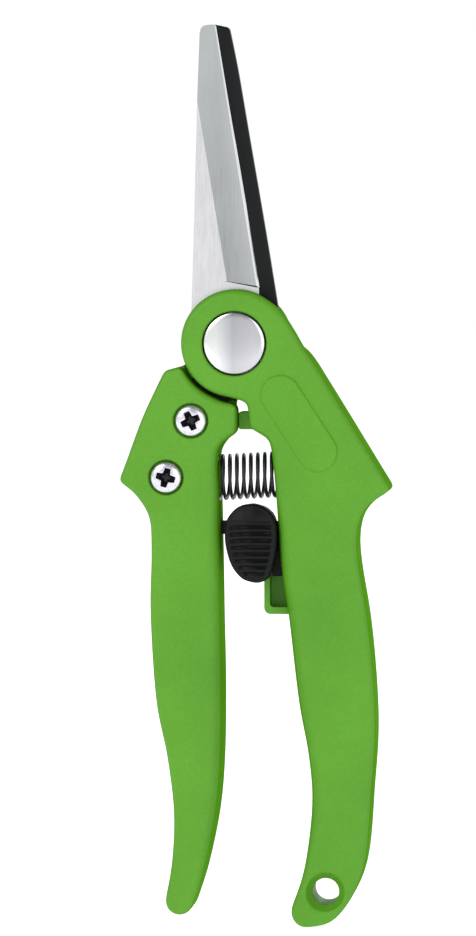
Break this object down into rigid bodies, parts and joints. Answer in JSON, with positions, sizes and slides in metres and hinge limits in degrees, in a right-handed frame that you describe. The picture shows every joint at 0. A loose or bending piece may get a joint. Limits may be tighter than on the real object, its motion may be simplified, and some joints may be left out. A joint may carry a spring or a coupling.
{
  "type": "bypass pruner",
  "caption": "Slim bypass pruner with straight tapered blades, green plastic handles pivoting on a round bolt, a coil spring and a black sliding thumb lock.",
  "frame": {"origin": "on the pivot axis, half way between the two blades", "axes": "+Z towards the blade tips, -Y to the front face with the round bolt head, +X to the side of the handle with the hanging hole; the snips are closed at rest"},
  "size_m": [0.0568, 0.0158, 0.1895],
  "materials": {
    "green_plastic": "satin moulded",
    "ground_steel": "ground",
    "black_coated_steel": "satin black coating",
    "polished_steel": "polished",
    "zinc_steel": "bright zinc plated",
    "spring_wire": "blackened",
    "black_plastic": "matte moulded"
  },
  "bodies": {
    "right_handle": {"right_handle_front": "green_plastic", "right_handle_back": "green_plastic", "front_blade": "ground_steel", "pivot_bolt": "polished_steel", "pivot_washer": "zinc_steel", "pivot_nut": "zinc_steel", "right_screw_upper": "zinc_steel", "right_screw_lower": "zinc_steel", "spring": "spring_wire"},
    "left_handle": {"left_handle_front": "green_plastic", "left_handle_back": "green_plastic", "back_blade": "black_coated_steel", "left_screw_upper": "zinc_steel", "left_screw_lower": "zinc_steel", "lock_catch": "black_coated_steel"},
    "lock": {"lock_button": "black_plastic", "lock_slide": "black_plastic"}
  },
  "joints": [
    {"name": "handle_pivot", "type": "hinge", "parent": "right_handle", "child": "left_handle", "pos_m": [0, 0, 0], "axis": [0, 1, 0], "range_deg": [0, 25], "deforming": ["spring"]},
    {"name": "lock_slide", "type": "slide", "parent": "right_handle", "child": "lock", "axis": [-0.0698, 0, 0.9976], "range_m": [-0.0043, 0.0013]}
  ]
}
